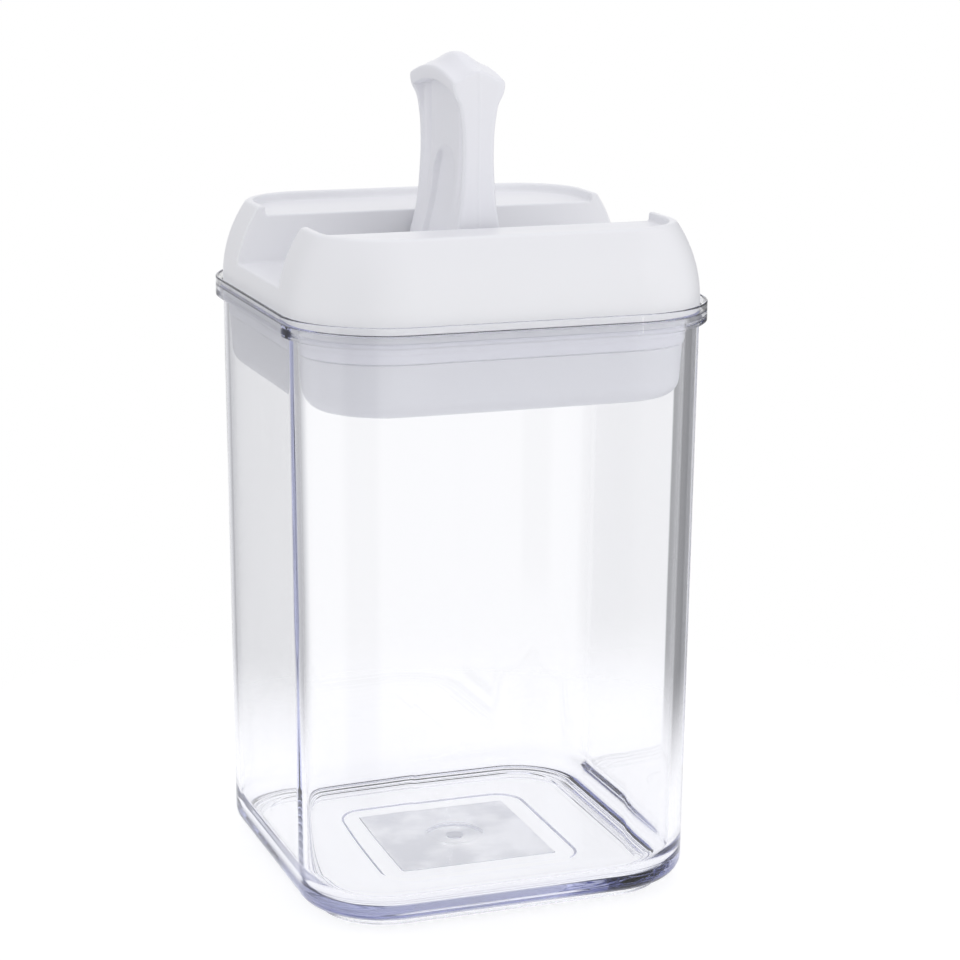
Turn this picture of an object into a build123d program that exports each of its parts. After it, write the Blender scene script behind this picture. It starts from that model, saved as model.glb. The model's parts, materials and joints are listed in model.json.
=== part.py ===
"""Square food canister with a flip-lever sealing lid, in millimetres.

Origin: centre of the foot ring's underside. +X runs along the lid's channel, +Z is up.
The lever stands upright, so the plug is in its lowest, released place.
"""

import math
import os

from build123d import *

# Every rounded square of the canister shares these four corner centres, (+-CORNER, +-CORNER).
# A profile gives its points as (s, z), where s is the distance outwards from a corner centre.
CORNER = 27.0

# Jar
WALL = 3.0
WALL_TOP_S = 22.55
WALL_LOW_S = 21.2
FOOT_S = 15.8
FOOT_WIDTH = 2.5
BASE_Z = 2.2
FLOOR_Z = 4.6
HEEL_RADIUS = 4.2
FLOOR_RADIUS = 7.0
BASE_RECESS = 25.0
BASE_RECESS_DEPTH = 0.5
RIM_S = 24.4
RIM_LOW_Z = 138.3
RIM_LEDGE_Z = 141.0
RIM_TOP_Z = 143.2
RIM_LIP = 0.8

# Lid cover
COVER_S = 22.6
COVER_LOW_Z = 141.2
COVER_BULGE_Z = 143.0
COVER_BULGE_RADIUS = 32.0
COVER_WALL = 2.0
LIP_TOP_Z = 161.6
LIP_INNER_S = 14.9
LIP_ROUND = 1.4
SHELF_Z = 159.5
SHELF_THICK = 2.1
CHANNEL_HALF = 18.1
CHANNEL_WALL = 2.0
CHANNEL_Z = 148.0
CHANNEL_FLOOR = 2.2
CHANNEL_FILLET = 1.0

# Lever and its cam
LEVER_HALF_WIDTH = 16.0
FLANGE = 2.6
WEB_INSET = 1.0
LIFT = 2.0
HUB_RADIUS = 6.5
CAM_GAP = 0.2
WAIST_HALF = 3.75
WAIST_Z = 177.0
TIP_HALF = 6.3
TIP_Z = 191.0
TIP_HEIGHT = 1.8
CREST_Z = 198.8
CREST_DROP = 3.3
ARCH_HALF = 7.8
ARCH_TOP_Z = 177.0
ARCH_CORE_LOW = 4.6
ARCH_CORE_HIGH = 1.9
BROW_Z = 189.5
BROW_RISE = 3.0

# Hinge pin, post and bush
PIN_RADIUS = 1.5
PIN_HALF = 13.0
PIN_FIT = 0.05
CAP_INSET = 0.1
POST_RADIUS = 3.5
POST_FIT = 0.08
EYE_RADIUS = 3.4
EYE_HALF = 3.1
SHOULDER = 1.6
EYE_GAP = 0.3
EYE_SLOT_TOP = 4.2
BUSH_WALL = 2.2
BUSH_FLANGE_RADIUS = 10.0
BUSH_FLANGE = 1.2
CAM_PLATE_HALF_X = 11.0
CAM_PLATE_HALF_Y = 16.8
CAM_PLATE = 0.8

# Gasket carrier
CARRIER_LOW_Z = 139.0
CARRIER_PLATE = 2.5
CARRIER_S = 19.2
CARRIER_FLANGE_S = 20.3
CARRIER_TOP_Z = 143.2
HUB_BOSS_RADIUS = 13.0
FIT = 0.1

# Gasket and plug
GASKET_S = 19.3
GASKET_WIDTH = 3.4
GASKET_Z = 134.0
PLUG_S = 18.7
PLUG_LOW_Z = 121.2
PLUG_DRAFT = 0.8
PLUG_WALL = 2.0
PLUG_FLOOR = 2.2
PLUG_ROUND = 4.0
PLATE = 2.2
PLATE_LEDGE = 0.8
PLATE_RING = 2.4
PLATE_RING_WIDTH = 1.6
WELL_RADIUS = 10.8
WELL_WALL = 1.8
WELL_FLOOR_Z = 127.6
WELL_FLOOR = 2.0

# Spring and fasteners
SPRING_RADIUS = 8.6
WIRE_RADIUS = 0.6
SPRING_TURNS = 4.5
SCREW_X = 33.0
SCREW_Y = 31.0
SCREW_SHANK = 1.4
SCREW_HEAD = 2.8
SCREW_HEAD_HEIGHT = 1.8
SCREW_LENGTH = 9.0
BOSS_RADIUS = 3.8
STEM_SHANK = 1.6
STEM_HEAD = 3.6
STEM_HEAD_HEIGHT = 1.6
WASHER_RADIUS = 5.5
WASHER = 0.8
DRIVE = 0.9

PIVOT_Z = CHANNEL_Z + CAM_GAP + HUB_RADIUS - LIFT
HUB_Z = PIVOT_Z + LIFT
ROUND_BUSH = POST_RADIUS + POST_FIT + BUSH_WALL


def square(face, core=None):
    """Carry a profile face, drawn in the XZ plane at s = X, round the rounded square."""
    corner = revolve(Pos(CORNER, CORNER, 0) * face, Axis((CORNER, CORNER, 0), (0, 0, 1)), 90)
    side = extrude(Pos(CORNER, -CORNER, 0) * face, 2 * CORNER, dir=(0, 1, 0))
    pieces = [Rot(0, 0, 90 * turn) * piece for turn in range(4) for piece in (corner, side)]
    if core:
        low, high = core
        pieces.append(block(-CORNER, CORNER, -CORNER, CORNER, low, high))
    return pieces[0].fuse(*pieces[1:]).clean()


def outline(*edges):
    """Face in the XZ plane, from edges given in (x, z)."""
    return Plane(origin=(0, 0, 0), x_dir=(1, 0, 0), z_dir=(0, -1, 0)) * make_face(list(edges))


def poly(*points):
    """Closed straight-sided face in the XZ plane."""
    return outline(*Polyline(*points, close=True).edges())


def block(x0, x1, y0, y1, z0, z1):
    """Box between two corners."""
    return Pos((x0 + x1) / 2, (y0 + y1) / 2, (z0 + z1) / 2) * Box(x1 - x0, y1 - y0, z1 - z0)


def rod(radius, low, high, x=0.0, y=0.0):
    """Upright cylinder between two heights."""
    return Pos(x, y, (low + high) / 2) * Cylinder(radius, high - low)


def cross_rod(radius, half, z):
    """Cylinder along Y, centred on the Z axis."""
    return Pos(0, 0, z) * Rot(90, 0, 0) * Cylinder(radius, 2 * half)


def ring(inner_s, outer_s, low, high):
    """Rounded-square band of rectangular section."""
    return square(poly((inner_s, low), (outer_s, low), (outer_s, high), (inner_s, high)))


def slab(outer_s, low, high):
    """Rounded-square plate, solid to the middle."""
    return square(poly((0, low), (outer_s, low), (outer_s, high), (0, high)), (low, high))


def save(name, shape):
    """Write one node's STEP file."""
    shape.label = name
    export_step(shape, f"parts/{name}.step")


def canister_body():
    """Clear jar: foot ring, rounded heel, thick base, drafted walls and a lipped rim."""
    heel_z = BASE_Z + HEEL_RADIUS
    heel = CenterArc((WALL_LOW_S - HEEL_RADIUS, heel_z), HEEL_RADIUS, -90, 90)
    inner_low_s = WALL_LOW_S - WALL
    floor_z = FLOOR_Z + FLOOR_RADIUS
    bowl = CenterArc((inner_low_s - FLOOR_RADIUS, floor_z), FLOOR_RADIUS, -90, 90)
    under = Polyline(
        (0, FLOOR_Z), (0, BASE_Z), (FOOT_S - FOOT_WIDTH, BASE_Z), (FOOT_S - FOOT_WIDTH, 0),
        (FOOT_S, 0), (FOOT_S, BASE_Z), (WALL_LOW_S - HEEL_RADIUS, BASE_Z),
    )
    rim = Polyline(
        (WALL_LOW_S, heel_z), (WALL_TOP_S, RIM_LOW_Z), (RIM_S, RIM_LOW_Z), (RIM_S, RIM_TOP_Z),
        (RIM_S - RIM_LIP, RIM_TOP_Z), (RIM_S - RIM_LIP, RIM_LEDGE_Z),
        (WALL_TOP_S - WALL, RIM_LEDGE_Z), (inner_low_s, floor_z),
    )
    floor = Line((inner_low_s - FLOOR_RADIUS, FLOOR_Z), (0, FLOOR_Z))
    face = outline(*under.edges(), heel, *rim.edges(), bowl, floor)
    jar = square(face, (BASE_Z, FLOOR_Z))
    recess = extrude(RectangleRounded(2 * BASE_RECESS, 2 * BASE_RECESS, 7), BASE_RECESS_DEPTH)
    gate = rod(1.6, BASE_Z, BASE_Z + BASE_RECESS_DEPTH)
    return jar - Pos(0, 0, BASE_Z) * recess + gate


def cover_side_s(z, inset=0.0):
    """How far the cover's bulging side stands out at a height."""
    centre = COVER_S - COVER_BULGE_RADIUS
    return centre + math.sqrt((COVER_BULGE_RADIUS - inset) ** 2 - (z - COVER_BULGE_Z) ** 2)


def cover_block():
    """Solid outside shape of the lid cover, with its two shelves sunk inside the lip."""
    lip_z = LIP_TOP_Z - LIP_ROUND
    shoulder = cover_side_s(lip_z)
    middle_z = (COVER_BULGE_Z + lip_z) / 2
    bulge = ThreePointArc(
        (COVER_S, COVER_BULGE_Z), (cover_side_s(middle_z), middle_z), (shoulder, lip_z)
    )
    crown = RadiusArc((shoulder, lip_z), (shoulder - LIP_ROUND, LIP_TOP_Z), -LIP_ROUND)
    inside = Polyline(
        (shoulder - LIP_ROUND, LIP_TOP_Z), (LIP_INNER_S, LIP_TOP_Z), (LIP_INNER_S, SHELF_Z),
        (0, SHELF_Z), (0, COVER_LOW_Z), (COVER_S, COVER_LOW_Z), (COVER_S, COVER_BULGE_Z),
    )
    return square(outline(bulge, crown, *inside.edges()), (COVER_LOW_Z, SHELF_Z))


def cover_hollow():
    """Space under the cover, inside its wall."""
    roof_z = SHELF_Z - SHELF_THICK
    low_s = COVER_S - COVER_WALL
    roof_s = cover_side_s(roof_z, COVER_WALL)
    middle_z = (COVER_BULGE_Z + roof_z) / 2
    bulge = ThreePointArc(
        (low_s, COVER_BULGE_Z), (cover_side_s(middle_z, COVER_WALL), middle_z), (roof_s, roof_z)
    )
    inside = Polyline(
        (roof_s, roof_z), (0, roof_z), (0, COVER_LOW_Z), (low_s, COVER_LOW_Z), (low_s, COVER_BULGE_Z)
    )
    return square(outline(bulge, *inside.edges()), (COVER_LOW_Z, roof_z))


def lid_cover():
    """White outer cover: two raised halves, and the lever's channel between them."""
    outside = cover_block()
    trough = outside & block(
        -60, 60, -CHANNEL_HALF - CHANNEL_WALL, CHANNEL_HALF + CHANNEL_WALL,
        CHANNEL_Z - CHANNEL_FLOOR, SHELF_Z,
    )
    cut = block(-60, 60, -CHANNEL_HALF, CHANNEL_HALF, CHANNEL_Z, 170)
    low_edges = cut.edges().filter_by(Axis.X).group_by(Axis.Z)[0]
    cut = fillet(low_edges, CHANNEL_FILLET)
    cover = (outside - cover_hollow()) + trough - cut
    for x in (-SCREW_X, SCREW_X):
        for y in (-SCREW_Y, SCREW_Y):
            cover += rod(BOSS_RADIUS, CARRIER_TOP_Z + 1.5, SHELF_Z - 0.5, x, y)
            cover -= rod(SCREW_SHANK + 0.01, CARRIER_TOP_Z, CARRIER_TOP_Z + 10, x, y)
    floor_low = CHANNEL_Z - CHANNEL_FLOOR
    cover -= rod(ROUND_BUSH + 0.02, floor_low - 1, CHANNEL_Z + 1)
    pocket_low = CHANNEL_Z - CAM_PLATE
    return cover - block(
        -CAM_PLATE_HALF_X, CAM_PLATE_HALF_X, -CAM_PLATE_HALF_Y, CAM_PLATE_HALF_Y,
        pocket_low, CHANNEL_Z + 1,
    )


def cam_plate():
    """Hard-wearing plate that the lever's cam bears and slides on."""
    plate = block(
        0.05 - CAM_PLATE_HALF_X, CAM_PLATE_HALF_X - 0.05, 0.05 - CAM_PLATE_HALF_Y,
        CAM_PLATE_HALF_Y - 0.05, CHANNEL_Z - CAM_PLATE, CHANNEL_Z,
    )
    return plate - rod(POST_RADIUS + 1.9, CHANNEL_Z - 2, CHANNEL_Z + 1)


def post_bush():
    """Flanged bush that guides the post, held between the cover's floor and the carrier."""
    floor_low = CHANNEL_Z - CHANNEL_FLOOR
    bush = rod(ROUND_BUSH, CARRIER_LOW_Z + CARRIER_PLATE, CHANNEL_Z - CAM_PLATE)
    bush += rod(BUSH_FLANGE_RADIUS, floor_low - BUSH_FLANGE, floor_low)
    return bush - rod(POST_RADIUS + POST_FIT, CARRIER_LOW_Z, CHANNEL_Z + 1)


def gasket_carrier():
    """Plate screwed up under the cover: its underside is the gasket's fixed upper jaw."""
    plate_top = CARRIER_LOW_Z + CARRIER_PLATE
    carrier = slab(CARRIER_S, CARRIER_LOW_Z, plate_top)
    carrier += ring(CARRIER_S - 1.5, CARRIER_FLANGE_S, plate_top - 0.1, CARRIER_TOP_Z)
    boss_top = CHANNEL_Z - CHANNEL_FLOOR - BUSH_FLANGE - FIT
    carrier += rod(HUB_BOSS_RADIUS, CARRIER_LOW_Z, boss_top)
    carrier -= rod(ROUND_BUSH + FIT, plate_top, boss_top + 1)
    carrier -= rod(POST_RADIUS + 0.8, CARRIER_LOW_Z - 1, plate_top + 1)
    for x in (-SCREW_X, SCREW_X):
        for y in (-SCREW_Y, SCREW_Y):
            carrier += rod(BOSS_RADIUS + 0.6, CARRIER_LOW_Z, CARRIER_TOP_Z + 1.5 - FIT, x, y)
            carrier -= rod(SCREW_HEAD + 0.3, CARRIER_LOW_Z - 1, plate_top, x, y)
            carrier -= rod(SCREW_SHANK + 0.2, plate_top - 1, CARRIER_TOP_Z + 3, x, y)
    return carrier


def carrier_screw(x, y):
    """Self-tapping screw, head down, with a cross drive."""
    seat = CARRIER_LOW_Z + CARRIER_PLATE
    head = rod(SCREW_HEAD, seat - SCREW_HEAD_HEIGHT, seat, x, y)
    low = seat - SCREW_HEAD_HEIGHT
    for half_x, half_y in ((0.35, 1.5), (1.5, 0.35)):
        head -= block(x - half_x, x + half_x, y - half_y, y + half_y, low, low + DRIVE)
    return head + rod(SCREW_SHANK, seat, seat + SCREW_LENGTH, x, y)


def lid_gasket():
    """Soft sealing ring, squeezed between the carrier and the plug."""
    inner = GASKET_S - GASKET_WIDTH
    height = CARRIER_LOW_Z - GASKET_Z
    bead = RadiusArc((GASKET_S - 0.5, GASKET_Z), (GASKET_S - 0.5, CARRIER_LOW_Z), -height * 1.6)
    back = Polyline(
        (GASKET_S - 0.5, CARRIER_LOW_Z), (inner, CARRIER_LOW_Z), (inner, GASKET_Z),
        (GASKET_S - 0.5, GASKET_Z),
    )
    return square(outline(bead, *back.edges()))


def plug_cup():
    """White cup that hangs in the jar's mouth, open at the top under its plate."""
    low_s = PLUG_S - PLUG_DRAFT
    turn_z = PLUG_LOW_Z + PLUG_ROUND
    corner = CenterArc((low_s - PLUG_ROUND, turn_z), PLUG_ROUND, -90, 90)
    floor_z = PLUG_LOW_Z + PLUG_FLOOR
    ledge_z = GASKET_Z - PLATE
    ledge_s = PLUG_S - PLUG_WALL - PLATE_LEDGE
    rest = Polyline(
        (low_s, turn_z), (PLUG_S, GASKET_Z), (PLUG_S - PLUG_WALL, GASKET_Z),
        (PLUG_S - PLUG_WALL, ledge_z), (ledge_s, ledge_z), (ledge_s - 0.4, floor_z),
        (0, floor_z), (0, PLUG_LOW_Z), (low_s - PLUG_ROUND, PLUG_LOW_Z),
    )
    return square(outline(corner, *rest.edges()), (PLUG_LOW_Z, floor_z))


def plug_plate():
    """Plate that closes the cup, locates the gasket and holds the spring in a well."""
    low = GASKET_Z - PLATE
    outer = PLUG_S - PLUG_WALL - FIT
    plate = slab(outer, low, GASKET_Z)
    ring_s = GASKET_S - GASKET_WIDTH - 0.3
    plate += ring(ring_s - PLATE_RING_WIDTH, ring_s, GASKET_Z - 0.1, GASKET_Z + PLATE_RING)
    plate += rod(WELL_RADIUS + WELL_WALL, WELL_FLOOR_Z - WELL_FLOOR, GASKET_Z)
    plate -= rod(WELL_RADIUS, WELL_FLOOR_Z, GASKET_Z + 1)
    return plate - rod(STEM_SHANK + 0.15, WELL_FLOOR_Z - WELL_FLOOR - 1, WELL_FLOOR_Z + 1)


def pull_post():
    """Post that lifts the plug: an eye for the hinge pin, a shaft, and a screw hole below."""
    post = rod(POST_RADIUS, WELL_FLOOR_Z, PIVOT_Z - SHOULDER)
    post += cross_rod(EYE_RADIUS, EYE_HALF, PIVOT_Z)
    post -= cross_rod(PIN_RADIUS + PIN_FIT, POST_RADIUS + 1, PIVOT_Z)
    return post - rod(STEM_SHANK + 0.01, WELL_FLOOR_Z - 1, WELL_FLOOR_Z + 10)


def stem_washer():
    """Washer under the stem screw's head."""
    top = WELL_FLOOR_Z - WELL_FLOOR
    return rod(WASHER_RADIUS, top - WASHER, top) - rod(STEM_SHANK + 0.2, top - 2, top + 1)


def stem_screw():
    """Screw that holds the plug's plate up against the post."""
    seat = WELL_FLOOR_Z - WELL_FLOOR - WASHER
    screw = rod(STEM_HEAD, seat - STEM_HEAD_HEIGHT + 0.4, seat)
    screw += rod(STEM_SHANK, seat, WELL_FLOOR_Z + 8)
    low = seat - STEM_HEAD_HEIGHT + 0.4
    for half_x, half_y in ((0.4, 2.0), (2.0, 0.4)):
        screw -= block(-half_x, half_x, -half_y, half_y, low, low + DRIVE - 0.3)
    return screw


def return_spring():
    """Coil spring that pushes the plug down when the lever is up."""
    low = WELL_FLOOR_Z + WIRE_RADIUS
    height = CARRIER_LOW_Z - WIRE_RADIUS - low
    path = Pos(0, 0, low) * Helix(height / SPRING_TURNS, height, SPRING_RADIUS)
    section = Plane(path @ 0, z_dir=path % 0) * Circle(WIRE_RADIUS)
    return sweep(section, path, is_frenet=True)


def lever_side(inset=0.0):
    """Hourglass outline of the lever in the XZ plane, without its roof."""
    foot = HUB_RADIUS - inset
    right = Spline(
        (foot, HUB_Z), (WAIST_HALF + 0.75 - inset, WAIST_Z - 13), (WAIST_HALF - inset, WAIST_Z),
        (WAIST_HALF + 1.15 - inset, WAIST_Z + 10.5), (TIP_HALF - inset, TIP_Z),
        tangents=[(0, 1), (0.7, 1)],
    )
    top_z = CREST_Z + 5
    top = Polyline((TIP_HALF - inset, TIP_Z), (TIP_HALF - inset, top_z), (0, top_z))
    left = [edge.mirror(Plane.YZ) for edge in (*right.edges(), *top.edges())]
    hub = CenterArc((0, HUB_Z), foot, 180, 180)
    return outline(*right.edges(), *top.edges(), *left, hub)


def lever_roof():
    """Barrel that trims the lever's head: a gable across it, and a dome along it."""
    dome = (LEVER_HALF_WIDTH**2 + CREST_DROP**2) / (2 * CREST_DROP)
    axis_z = CREST_Z - dome
    eaves_z = TIP_Z + TIP_HEIGHT + CREST_DROP
    gable = poly(
        (-TIP_HALF - 1, axis_z), (TIP_HALF + 1, axis_z), (TIP_HALF + 1, eaves_z),
        (TIP_HALF, eaves_z), (1.2, CREST_Z), (-1.2, CREST_Z), (-TIP_HALF, eaves_z),
        (-TIP_HALF - 1, eaves_z),
    )
    return revolve(gable, Axis((0, 0, axis_z), (1, 0, 0)), 360)


def brow_window():
    """Region in the YZ plane, arched at its top, where the web lies back behind the flanges."""
    inner = LEVER_HALF_WIDTH - FLANGE
    top = ThreePointArc((inner, BROW_Z), (0, BROW_Z + BROW_RISE), (-inner, BROW_Z))
    sides = Polyline((-inner, BROW_Z), (-inner, 140), (inner, 140), (inner, BROW_Z))
    face = Plane.YZ * make_face([top, *sides.edges()])
    return extrude(face, 20, both=True)


def arch_scoop():
    """Arched scoop in the lower part of the web, drawn in the YZ plane."""
    spring_z = ARCH_TOP_Z - ARCH_HALF
    arch = CenterArc((0, spring_z), ARCH_HALF, 0, 180)
    sides = Polyline((-ARCH_HALF, spring_z), (-ARCH_HALF, 140), (ARCH_HALF, 140), (ARCH_HALF, spring_z))
    return extrude(Plane.YZ * make_face([arch, *sides.edges()]), 20, both=True)


def lever_slice(inset):
    """The hourglass carried across the lever's full width."""
    return extrude(lever_side(inset), LEVER_HALF_WIDTH, both=True)


def scoop_core():
    """What is left between the two scoops: thick round the post's eye, thin above it."""
    web = WAIST_HALF - WEB_INSET
    right = (
        (ARCH_CORE_LOW, HUB_Z), (ARCH_CORE_LOW, PIVOT_Z + 5), (ARCH_CORE_HIGH, ARCH_TOP_Z - 10),
        (ARCH_CORE_HIGH, ARCH_TOP_Z - 5), (web, ARCH_TOP_Z), (web, ARCH_TOP_Z + 1),
    )
    left = [(-x, z) for x, z in reversed(right)]
    return extrude(poly(*right, *left), ARCH_HALF + 1, both=True)


def lever():
    """Flip lever: forked cam hub, waisted grip with a dished web, and a domed head."""
    full = lever_slice(0.0)
    window = brow_window()
    body = (full - window) + (lever_slice(WEB_INSET) & window)
    scoop = arch_scoop() & block(-20, 20, -20, 20, HUB_Z, CREST_Z)
    body = (body - scoop) + (scoop_core() & scoop)
    body = body + (full & block(-20, 20, -20, 20, 140, HUB_Z))
    body = body & lever_roof()
    reach = POST_RADIUS + EYE_GAP
    body -= block(-reach, 20, -reach, reach, 140, PIVOT_Z + EYE_SLOT_TOP)
    return body - cross_rod(PIN_RADIUS + 0.01, LEVER_HALF_WIDTH + 1, PIVOT_Z)


def pin_caps():
    """Pair of small plugs that close the pin's hole in the lever's cheeks."""
    half = (LEVER_HALF_WIDTH - PIN_HALF) / 2 - CAP_INSET
    caps = []
    for side in (-1, 1):
        middle = side * (PIN_HALF + CAP_INSET + half)
        caps.append(Pos(0, middle, 0) * cross_rod(PIN_RADIUS, half, PIVOT_Z))
    return Compound(caps)


def hinge_pin():
    """Steel pin through the post's eye, pressed into the lever's cheeks."""
    return cross_rod(PIN_RADIUS, PIN_HALF, PIVOT_Z)


def main():
    os.makedirs("parts", exist_ok=True)
    makers = (
        canister_body, lid_cover, cam_plate, post_bush, gasket_carrier, lid_gasket, plug_cup,
        plug_plate, pull_post, stem_washer, stem_screw, return_spring, lever, hinge_pin,
        pin_caps,
    )
    for maker in makers:
        save(maker.__name__, maker())
    places = [(x, y) for x in (-SCREW_X, SCREW_X) for y in (-SCREW_Y, SCREW_Y)]
    save("carrier_screws", Compound([carrier_screw(x, y) for x, y in places]))


main()
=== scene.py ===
# %% [markdown]
# # A square food canister with a flip-lever lid
# The CAD frame holds every part at its true size and place. This lesson builds the visible
# skins around it: clear jar, plug, gasket, lid cover and lever. Then it paints every part and
# sets a pale studio. All lengths below are in millimetres until a mesh is made.
#
# Up is +Z, the lever's channel runs along X, and the middle of the foot ring is the origin. The
# hidden parts (spring, screws, carrier) stay as the CAD frame gives them and only get a finish.

# %% Load the frame and keep its box
import json
import math
import bmesh
import bpy
import numpy as np
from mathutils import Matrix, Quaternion, Vector


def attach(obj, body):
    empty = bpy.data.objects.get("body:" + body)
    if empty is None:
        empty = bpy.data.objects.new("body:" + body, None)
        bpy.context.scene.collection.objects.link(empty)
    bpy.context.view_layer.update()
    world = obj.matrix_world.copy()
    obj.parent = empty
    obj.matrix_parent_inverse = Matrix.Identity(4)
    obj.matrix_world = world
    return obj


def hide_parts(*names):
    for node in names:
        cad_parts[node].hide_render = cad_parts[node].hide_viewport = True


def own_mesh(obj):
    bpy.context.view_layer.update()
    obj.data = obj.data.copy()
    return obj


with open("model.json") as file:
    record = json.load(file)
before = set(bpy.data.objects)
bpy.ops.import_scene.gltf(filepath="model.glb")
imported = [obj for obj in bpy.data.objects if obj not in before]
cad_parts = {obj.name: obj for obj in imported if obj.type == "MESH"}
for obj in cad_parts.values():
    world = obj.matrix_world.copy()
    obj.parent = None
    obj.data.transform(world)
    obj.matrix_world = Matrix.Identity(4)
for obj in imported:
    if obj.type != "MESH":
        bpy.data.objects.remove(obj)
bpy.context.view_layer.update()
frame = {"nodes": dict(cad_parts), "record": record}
nodes = frame["nodes"]
print("frame nodes:", sorted(nodes))

# %% [markdown]
# ## A rounded square as one path
# Jar, gasket, plug and cover all run round the same rounded square, whose corners turn about
# the four points (27, 27). It could be drawn as a curve and bevelled, but a point on any of
# them is simply "corner-square point + distance x outward direction". So one path of points and
# directions serves them all, and their corners stay concentric, as on the real moulding.

# %% The path
CORNER = 27.0
MM = 0.001


def square_path(marks, arc):
    """Points on the square of corner centres, and the outward direction at each. One quarter is a
    side (fixed direction, moving point) then a corner (fixed point, turning direction); the other
    three are that quarter turned by right angles."""
    turn = np.linspace(0, np.pi / 2, arc + 1)[1:-1]
    side = np.column_stack([np.full(len(marks), CORNER), marks])
    base = np.vstack([side, np.full((len(turn), 2), CORNER)])
    east = np.tile([1.0, 0.0], (len(marks), 1))
    out = np.vstack([east, np.column_stack([np.cos(turn), np.sin(turn)])])
    quarter = np.array([[0.0, 1.0], [-1.0, 0.0]])
    turns = [np.linalg.matrix_power(quarter, k) for k in range(4)]
    return np.vstack([base @ t for t in turns]), np.vstack([out @ t for t in turns])


def mirrored(*marks):
    """The marks and their mirror images, in order, with the side's two ends."""
    marks = np.array(marks + (26.6, CORNER))
    return np.unique(np.concatenate([-marks, marks]))


plain_path = square_path(mirrored(0.0, 7.0, 14.0, 21.0), 28)
print("points round the path:", len(plain_path[0]))

# %% [markdown]
# ## Rings and profiles
# A surface is a stack of rings along a profile. A profile is a few corner points, and each
# corner is swapped for an arc, because nothing that leaves a mould has a true knife edge. Two
# extra rows sit close to each arc: they stop its soft shading from leaking over the flat runs,
# which matters most in clear plastic, where a bent normal shows as a ripple.

# %% Helpers for profiles and rings


def unit(v):
    """Each row scaled to length one."""
    return v / np.linalg.norm(v, axis=1, keepdims=True)


def rounded(points, radii, steps=6, support=0.25):
    """Open outline with rounded corners. An arc's centre lies on the corner's bisector, at
    radius / sin(half the angle), and its points swing evenly from one run to the next."""
    points, radii = np.asarray(points, float), np.asarray(radii, float)[:, None]
    corner = points[1:-1]
    back, ahead = unit(points[:-2] - corner), unit(points[2:] - corner)
    half = np.arccos(np.clip((back * ahead).sum(1, keepdims=True), -1, 1)) / 2
    centre = corner + unit(back + ahead) * radii / np.sin(half)
    reach = radii / np.tan(half)
    first, last = corner + back * reach - centre, corner + ahead * reach - centre
    swing = np.pi - 2 * half
    share = np.linspace(0, 1, steps + 1)[:, None, None]
    arcs = centre + (np.sin((1 - share) * swing) * first + np.sin(share * swing) * last) / np.sin(swing)
    arcs = arcs.transpose(1, 0, 2)
    leave = np.vstack([points[:1], arcs[:, -1]])
    arrive = np.vstack([arcs[:, 0], points[-1:]])
    run = arrive - leave
    nudge = run * np.minimum(0.3, support / np.maximum(np.linalg.norm(run, axis=1), 1e-9))[:, None]
    rows = np.concatenate([(leave + nudge)[:, None], (arrive - nudge)[:, None]], axis=1)
    body = np.concatenate([rows[:-1], arcs], axis=1).reshape(-1, 2)
    return np.vstack([points[:1], body, rows[-1], points[-1:]])


def rings(half, radius, height, path=plain_path):
    """Grid of points: ring i is a square of half width half[i] and corner radius radius[i]."""
    base, out = path
    half, radius, height = (np.asarray(v, float)[:, None, None] for v in (half, radius, height))
    flat = (half - radius) / CORNER * base + radius * out
    return np.concatenate([flat, np.broadcast_to(height, flat.shape[:2] + (1,))], axis=2)


def swept(profile, path=plain_path):
    """Rings from a profile of (distance out from the corner centres, height)."""
    s, z = profile.T
    return rings(CORNER + s, s, z, path)


# %% [markdown]
# ## From grids to meshes
# Every surface below is a patch: an array of points and an array of faces. Patches are welded
# where their edges meet, so a piece ends up as one closed skin whose faces look outwards.
# Typing the faces by hand would work for a box, but whole arrays keep thousands of faces short.

# %% Patches and pieces


def grid(points, around=True, along=False):
    """Four-sided faces between neighbouring rows and columns; either way may close on itself."""
    rows, columns = points.shape[:2]
    index = np.arange(rows * columns).reshape(rows, columns)
    index = np.hstack([index, index[:, :1]]) if around else index
    index = np.vstack([index, index[:1]]) if along else index
    faces = np.stack([index[:-1, :-1], index[:-1, 1:], index[1:, 1:], index[1:, :-1]], axis=-1)
    return points.reshape(-1, 3), faces.reshape(-1, 4)


def panel(points):
    """One flat many-sided face through the points."""
    return np.asarray(points, float), np.arange(len(points))[None]


def piece(name, patches):
    """Welds patches into one closed mesh, turns its faces outwards and shades it smooth."""
    starts = np.cumsum([0] + [len(points) for points, _ in patches])
    points = np.vstack([points for points, _ in patches]) * MM
    faces = [face for start, (_, f) in zip(starts, patches) for face in (f + start).tolist()]
    mesh = bpy.data.meshes.new(name)
    mesh.from_pydata(points.tolist(), [], faces)
    bm = bmesh.new()
    bm.from_mesh(mesh)
    bmesh.ops.remove_doubles(bm, verts=bm.verts, dist=2e-6)
    bmesh.ops.recalc_face_normals(bm, faces=bm.faces)
    open_edges = sum(not edge.is_manifold for edge in bm.edges)
    volume = bm.calc_volume() * 1e6
    bm.to_mesh(mesh)
    bm.free()
    mesh.shade_smooth()
    obj = bpy.data.objects.new(name, mesh)
    bpy.context.scene.collection.objects.link(obj)
    print(f"{name}: {len(mesh.polygons)} faces, {open_edges} open edges, {volume:.1f} ml of material")
    return obj


def apply_modifiers(obj):
    """Swaps the mesh for its finished one, so that nothing is left to work out later."""
    bpy.context.view_layer.update()
    done = bpy.data.meshes.new_from_object(obj.evaluated_get(bpy.context.evaluated_depsgraph_get()))
    obj.modifiers.clear()
    obj.data = done
    return obj


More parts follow.
